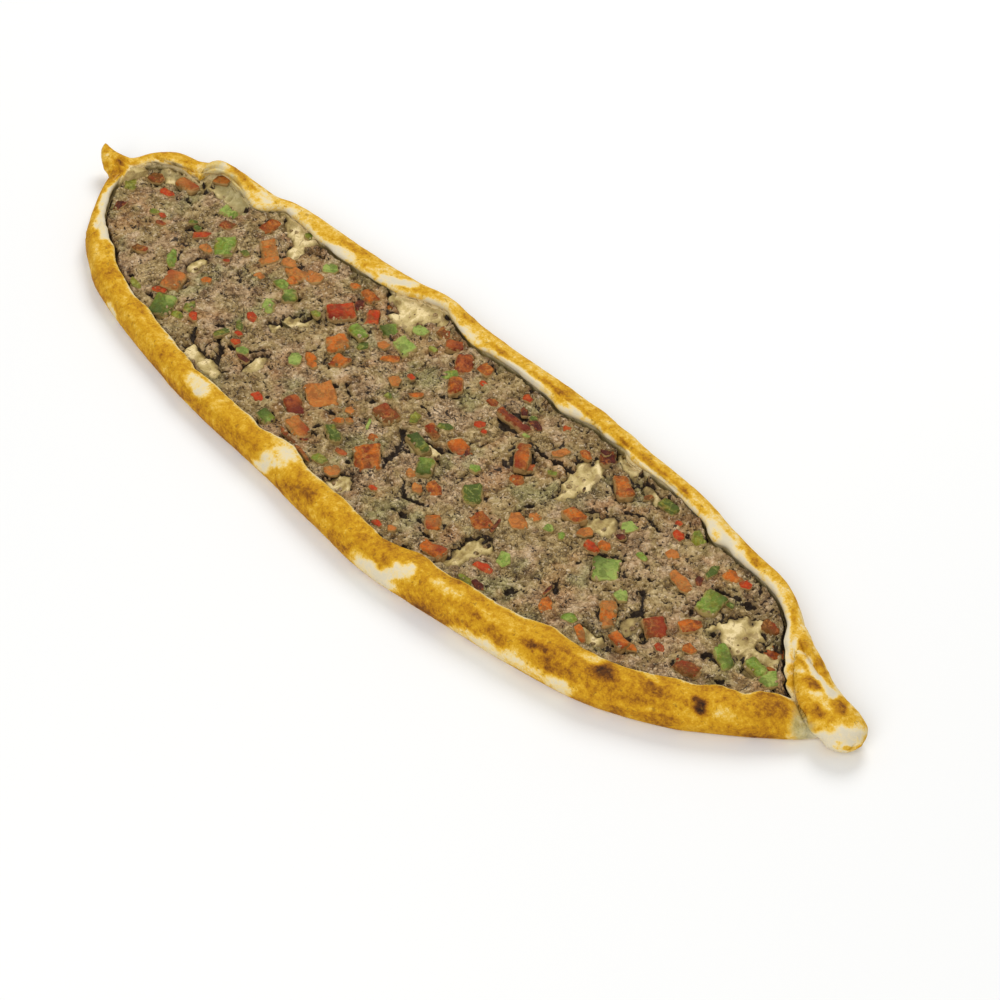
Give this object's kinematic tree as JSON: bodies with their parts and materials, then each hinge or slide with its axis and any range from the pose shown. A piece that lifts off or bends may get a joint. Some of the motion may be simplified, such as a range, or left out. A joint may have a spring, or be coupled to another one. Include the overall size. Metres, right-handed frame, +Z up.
{
  "type": "turkish pide",
  "caption": "Long boat-shaped flatbread with a rolled golden rim, a pinched end and a folded knob end, filled with cooked mince and diced peppers and tomato, for eating hot.",
  "frame": {"origin": "middle of the bounding box at its base, on the surface that the bread rests on", "axes": "+X along the boat from the pinched ear to the folded knob, +Y towards the straighter long side, +Z up"},
  "size_m": [0.5016, 0.1383, 0.0165],
  "materials": {
    "baked_crust": "dry baked dough crust, golden with paler floury and darker browned places",
    "cooked_mince": "cooked minced meat, slightly greasy",
    "green_pepper": "soft baked pepper, slightly moist",
    "red_pepper": "soft baked pepper, slightly moist",
    "tomato": "soft baked tomato, moist"
  },
  "bodies": {
    "root": {"dough_boat": "baked_crust", "mince_filling": "cooked_mince", "green_pepper_01": "green_pepper", "green_pepper_02": "green_pepper", "green_pepper_03": "green_pepper", "green_pepper_04": "green_pepper", "green_pepper_05": "green_pepper", "green_pepper_06": "green_pepper", "green_pepper_07": "green_pepper", "green_pepper_08": "green_pepper", "green_pepper_09": "green_pepper", "green_pepper_10": "green_pepper", "green_pepper_11": "green_pepper", "green_pepper_12": "green_pepper", "green_pepper_13": "green_pepper", "green_pepper_14": "green_pepper", "green_pepper_15": "green_pepper", "green_pepper_16": "green_pepper", "green_pepper_17": "green_pepper", "green_pepper_18": "green_pepper", "green_pepper_19": "green_pepper", "green_pepper_20": "green_pepper", "red_pepper_01": "red_pepper", "red_pepper_02": "red_pepper", "red_pepper_03": "red_pepper", "red_pepper_04": "red_pepper", "red_pepper_05": "red_pepper", "red_pepper_06": "red_pepper", "red_pepper_07": "red_pepper", "red_pepper_08": "red_pepper", "red_pepper_09": "red_pepper", "tomato_01": "tomato", "tomato_02": "tomato", "tomato_03": "tomato", "tomato_04": "tomato", "tomato_05": "tomato", "tomato_06": "tomato", "tomato_07": "tomato", "tomato_08": "tomato", "tomato_09": "tomato", "tomato_10": "tomato", "tomato_11": "tomato", "tomato_12": "tomato", "tomato_13": "tomato", "tomato_14": "tomato", "tomato_15": "tomato", "tomato_16": "tomato", "tomato_17": "tomato", "tomato_18": "tomato", "tomato_19": "tomato", "tomato_20": "tomato", "tomato_21": "tomato", "tomato_22": "tomato", "tomato_23": "tomato", "tomato_24": "tomato", "tomato_25": "tomato", "tomato_26": "tomato"}
  },
  "joints": []
}
